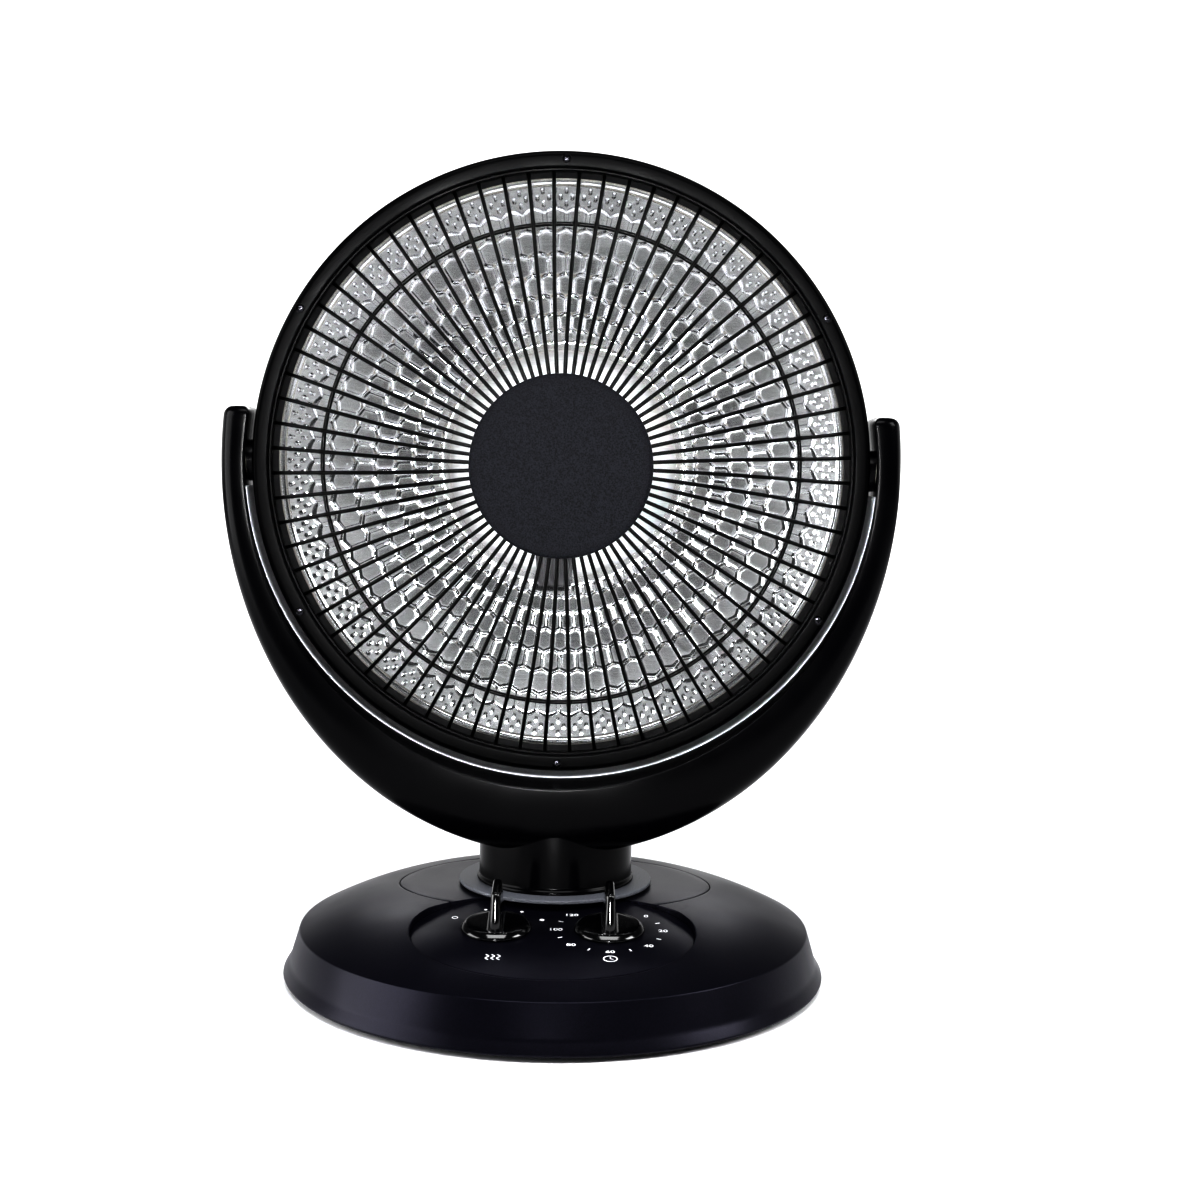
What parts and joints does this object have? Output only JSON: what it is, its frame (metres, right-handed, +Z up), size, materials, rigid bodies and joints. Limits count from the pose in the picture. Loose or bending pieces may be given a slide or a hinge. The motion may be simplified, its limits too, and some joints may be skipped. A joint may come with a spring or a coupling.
{
  "type": "parabolic heater",
  "caption": "Dish heater: domed wire guard over an embossed reflector, tilting in a crescent yoke that swivels on a round base with a heat dial and a timer dial.",
  "frame": {"origin": "middle of the round base, at the floor under its feet", "axes": "+X to the viewer's right seen from the front, -Y to the front, +Z up"},
  "size_m": [0.394, 0.314, 0.474],
  "materials": {
    "base_plastic": "satin moulded, fine grain",
    "island_plastic": "satin moulded",
    "panel_plastic": "satin moulded",
    "gloss_black": "gloss moulded",
    "knob_plastic": "gloss moulded",
    "black_paint": "gloss black enamel",
    "housing_plastic": "satin moulded",
    "hub_plastic": "fine textured",
    "grey_disc": "grained",
    "bright_aluminium": "bright rolled sheet, embossed",
    "plated_steel": "zinc plated",
    "dark_steel": "black oxide",
    "ballast_steel": "mill finish",
    "rubber_black": "soft black rubber",
    "nylon_white": "natural nylon",
    "signal_red": "moulded",
    "porcelain": "unglazed white ceramic",
    "heating_wire": "drawn alloy wire",
    "switch_plastic": "moulded",
    "timer_case": "plated case"
  },
  "bodies": {
    "base": {"base_shell": "base_plastic", "neck_island": "island_plastic", "base_plate": "base_plastic", "ballast_plate": "ballast_steel", "rubber_feet": "rubber_black", "base_screws": "plated_steel", "control_fascia": "panel_plastic", "heat_switch": "switch_plastic", "timer_unit": "timer_case", "osc_motor": "timer_case", "motor_screws": "plated_steel", "swivel_bearing": "nylon_white", "tip_bracket": "nylon_white", "tip_switch": "switch_plastic", "terminal_block": "nylon_white", "cord_gland": "rubber_black"},
    "heat_dial": {"heat_shaft": "plated_steel", "heat_knob": "knob_plastic"},
    "timer_dial": {"timer_shaft": "plated_steel", "timer_knob": "knob_plastic"},
    "pinion": {"drive_pinion": "nylon_white"},
    "plunger": {"tip_plunger": "signal_red", "plunger_spring": "plated_steel"},
    "yoke": {"turntable": "grey_disc", "neck": "gloss_black", "sector_gear": "nylon_white", "spindle_retainer": "plated_steel", "yoke_front": "gloss_black", "yoke_rear": "gloss_black", "yoke_screws": "dark_steel", "pivot_bushes": "nylon_white"},
    "head": {"pivot_pins": "plated_steel", "pivot_spacers": "gloss_black", "guard_ring": "gloss_black", "guard_spokes": "black_paint", "guard_mid_ring": "black_paint", "guard_rim_ring": "black_paint", "hub_cap": "hub_plastic", "hub_back": "plated_steel", "reflector": "bright_aluminium", "rear_housing": "housing_plastic", "terminal_cover": "housing_plastic", "cover_screws": "plated_steel", "element_core": "porcelain", "element_coil": "heating_wire", "element_socket": "porcelain", "element_bracket": "dark_steel", "thermal_cutout": "timer_case", "head_screws": "dark_steel"}
  },
  "joints": [
    {"name": "swivel", "type": "hinge", "parent": "base", "child": "yoke", "pos_m": [0, 0.014, 0.05], "axis": [0, 0, 1], "range_deg": [-35, 35]},
    {"name": "pinion_turn", "type": "hinge", "parent": "base", "child": "pinion", "pos_m": [0, 0.0681, 0.03], "axis": [0, 0, 1], "range_deg": [-175, 175]},
    {"name": "head_tilt", "type": "hinge", "parent": "yoke", "child": "head", "pos_m": [0, 0.014, 0.296], "axis": [-1, 0, 0], "range_deg": [-15, 30]},
    {"name": "heat_turn", "type": "hinge", "parent": "base", "child": "heat_dial", "pos_m": [-0.031, -0.06704, 0.04311], "axis": [0, -0.1132, 0.9936], "range_deg": [-60, 60]},
    {"name": "timer_turn", "type": "hinge", "parent": "base", "child": "timer_dial", "pos_m": [0.031, -0.06704, 0.04311], "axis": [0, -0.1132, 0.9936], "range_deg": [-315, 0]},
    {"name": "tip_plunge", "type": "slide", "parent": "base", "child": "plunger", "axis": [0, 0, -1], "range_m": [0, 0.005], "stiffness_N_per_m": 120, "springref_m": 0.009, "deforming": ["plunger_spring"]}
  ],
  "couplings": [
    {"joint": "pinion_turn", "follows": "swivel", "ratio": -5}
  ]
}
